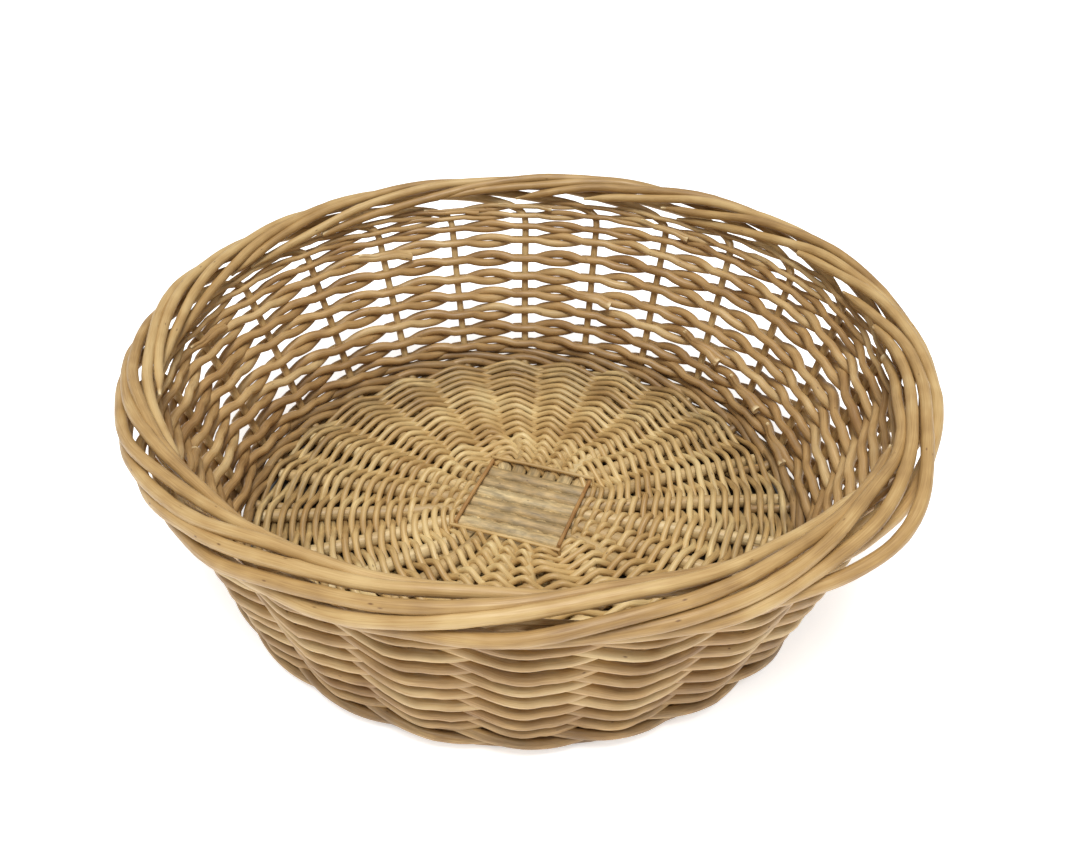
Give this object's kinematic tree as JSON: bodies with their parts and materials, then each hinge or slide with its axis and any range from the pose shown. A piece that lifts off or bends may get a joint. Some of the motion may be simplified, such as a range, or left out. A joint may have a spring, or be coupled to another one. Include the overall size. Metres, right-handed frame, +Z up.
{
  "type": "woven wicker basket",
  "caption": "Round, shallow, open basket of woven willow with flared sides, a rolled rod border and a cross of split sticks in its base.",
  "frame": {"origin": "centre of the basket's foot, on the surface that it stands on", "axes": "+Z up through the open mouth; +X and +Y across the basket, with a stake standing on +X"},
  "size_m": [0.4218, 0.4218, 0.1288],
  "materials": {
    "stake_willow": "peeled willow rod, satin, golden buff",
    "stick_willow": "split and whole willow sticks, dry and weathered, pale with grey stains",
    "tie_willow": "thin willow rod, darker brown",
    "base_weaver_willow": "thin peeled willow rods, satin",
    "siding_willow": "peeled willow rods, satin, golden buff",
    "wale_willow": "peeled willow rods, browner and a little stained"
  },
  "bodies": {
    "root": {"base_weavers_1": "base_weaver_willow", "base_weavers_2": "base_weaver_willow", "base_weavers_3": "base_weaver_willow", "base_weavers_4": "base_weaver_willow", "base_weavers_5": "base_weaver_willow", "base_weavers_6": "base_weaver_willow", "base_weavers_7": "base_weaver_willow", "base_weavers_8": "base_weaver_willow", "foot_rod": "wale_willow", "siding_row_01": "siding_willow", "siding_row_02": "siding_willow", "siding_row_03": "siding_willow", "siding_row_04": "siding_willow", "siding_row_05": "siding_willow", "siding_row_06": "siding_willow", "siding_row_07": "siding_willow", "siding_row_08": "siding_willow", "siding_row_09": "siding_willow", "siding_row_10": "siding_willow", "slath_tie_rod_1": "tie_willow", "slath_tie_rod_2": "tie_willow", "split_bottom_stick_1": "stick_willow", "split_bottom_stick_2": "stick_willow", "split_bottom_stick_3": "stick_willow", "split_bottom_stick_4": "stick_willow", "split_bottom_stick_5": "stick_willow", "split_bottom_stick_6": "stick_willow", "stake_01": "stake_willow", "stake_02": "stake_willow", "stake_03": "stake_willow", "stake_04": "stake_willow", "stake_05": "stake_willow", "stake_06": "stake_willow", "stake_07": "stake_willow", "stake_08": "stake_willow", "stake_09": "stake_willow", "stake_10": "stake_willow", "stake_11": "stake_willow", "stake_12": "stake_willow", "stake_13": "stake_willow", "stake_14": "stake_willow", "stake_15": "stake_willow", "stake_16": "stake_willow", "stake_17": "stake_willow", "stake_18": "stake_willow", "stake_19": "stake_willow", "stake_20": "stake_willow", "stake_21": "stake_willow", "stake_22": "stake_willow", "stake_23": "stake_willow", "stake_24": "stake_willow", "through_bottom_stick_1": "stick_willow", "through_bottom_stick_2": "stick_willow", "through_bottom_stick_3": "stick_willow", "through_bottom_stick_4": "stick_willow", "through_bottom_stick_5": "stick_willow", "through_bottom_stick_6": "stick_willow", "upsett_wale": "wale_willow"}
  },
  "joints": []
}
